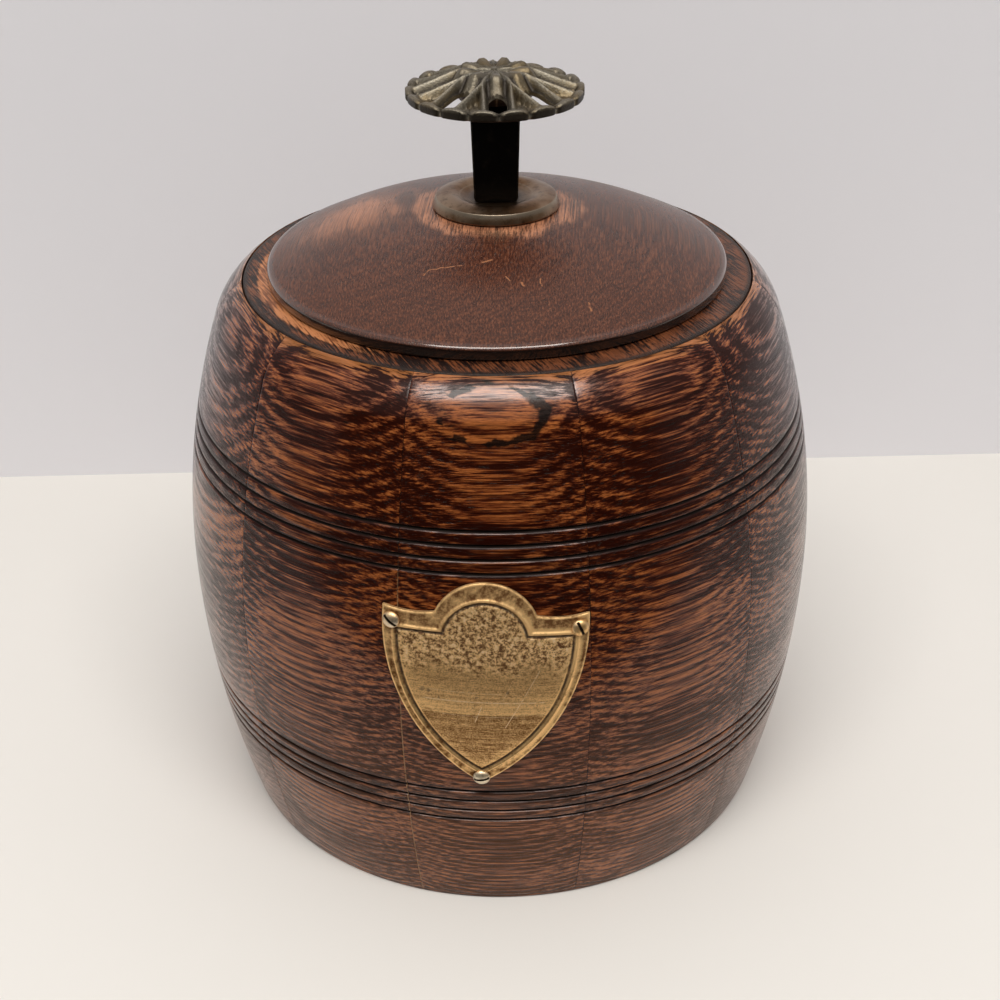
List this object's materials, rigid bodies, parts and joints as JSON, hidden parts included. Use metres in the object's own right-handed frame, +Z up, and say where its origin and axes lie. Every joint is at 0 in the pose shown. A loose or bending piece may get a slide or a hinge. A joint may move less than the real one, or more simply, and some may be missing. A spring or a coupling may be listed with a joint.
{
  "type": "biscuit barrel",
  "caption": "Coopered oak biscuit barrel with turned groove bands, an earthenware liner, a bare brass shield and a lift-off domed lid with a pierced rosette knob.",
  "frame": {"origin": "centre of the barrel's foot, on the surface it stands on", "axes": "+Z up the barrel's axis, the shield on the -Y side, +X to the right seen from the shield's side"},
  "size_m": [0.1599, 0.1616, 0.1886],
  "materials": {
    "oak_stave": "dark red-brown varnish over open-grained oak",
    "oak_ring": "worn varnish, short grain",
    "oak_board": "bare oak",
    "oak_lid": "dull dark varnish, scratched",
    "glazed_liner": "cream glaze",
    "brass_plate": "aged, mottled and brushed",
    "brass_screw": "worn bright",
    "bronzed_brass": "brown patina",
    "black_post": "black semi-gloss",
    "aged_brass": "dark cast patina, rubbed on the high points",
    "steel_fixing": "plain"
  },
  "bodies": {
    "barrel": {"stave_01": "oak_stave", "stave_02": "oak_stave", "stave_03": "oak_stave", "stave_04": "oak_stave", "stave_05": "oak_stave", "stave_06": "oak_stave", "stave_07": "oak_stave", "stave_08": "oak_stave", "stave_09": "oak_stave", "stave_10": "oak_stave", "stave_11": "oak_stave", "mouth_ring": "oak_ring", "base_board": "oak_board", "liner": "glazed_liner", "shield_plate": "brass_plate", "shield_screw_left": "brass_screw", "shield_screw_right": "brass_screw", "shield_screw_bottom": "brass_screw"},
    "lid": {"lid": "oak_lid", "knob_backplate": "bronzed_brass", "knob_post": "black_post", "knob_rosette": "aged_brass", "knob_screw": "steel_fixing", "knob_washer": "steel_fixing"}
  },
  "joints": [
    {"name": "lid_lift", "type": "slide", "parent": "barrel", "child": "lid", "axis": [0, 0, 1], "range_m": [0, 0.12]}
  ]
}
